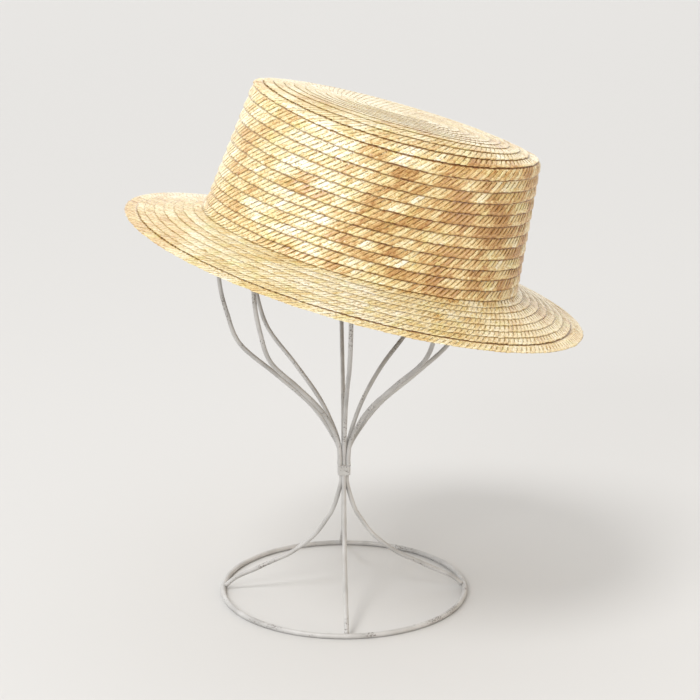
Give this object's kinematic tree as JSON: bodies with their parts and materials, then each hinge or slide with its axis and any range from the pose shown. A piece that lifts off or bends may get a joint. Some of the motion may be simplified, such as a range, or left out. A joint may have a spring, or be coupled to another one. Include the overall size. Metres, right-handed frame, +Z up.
{
  "type": "straw boater hat on a wire hat stand",
  "caption": "Straw boater sewn from spiral braid, with a flat-topped crown and a straight brim, leaning on a wire stand with a ring foot, a welded neck and an open cage.",
  "frame": {"origin": "on the floor, under the middle of the brim's box", "axes": "+Z up from the floor; the hat's long axis runs along X and leans down towards +X; -Y is the front of the picture"},
  "size_m": [0.288, 0.2708, 0.3351],
  "materials": {
    "straw": "plaited natural straw, cream to tan, with glossy strands",
    "stand_paint": "off-white paint on wire, chipped at the welds"
  },
  "bodies": {
    "root": {"crown": "straw", "brim": "straw", "base_ring": "stand_paint", "leg_front": "stand_paint", "leg_right": "stand_paint", "leg_back": "stand_paint", "leg_left": "stand_paint", "neck_weld": "stand_paint", "cage_wire_1": "stand_paint", "cage_wire_2": "stand_paint", "cage_wire_3": "stand_paint", "cage_wire_4": "stand_paint", "cage_wire_5": "stand_paint", "cage_wire_6": "stand_paint", "cage_wire_7": "stand_paint", "cage_wire_8": "stand_paint", "cage_hub": "stand_paint"}
  },
  "joints": []
}
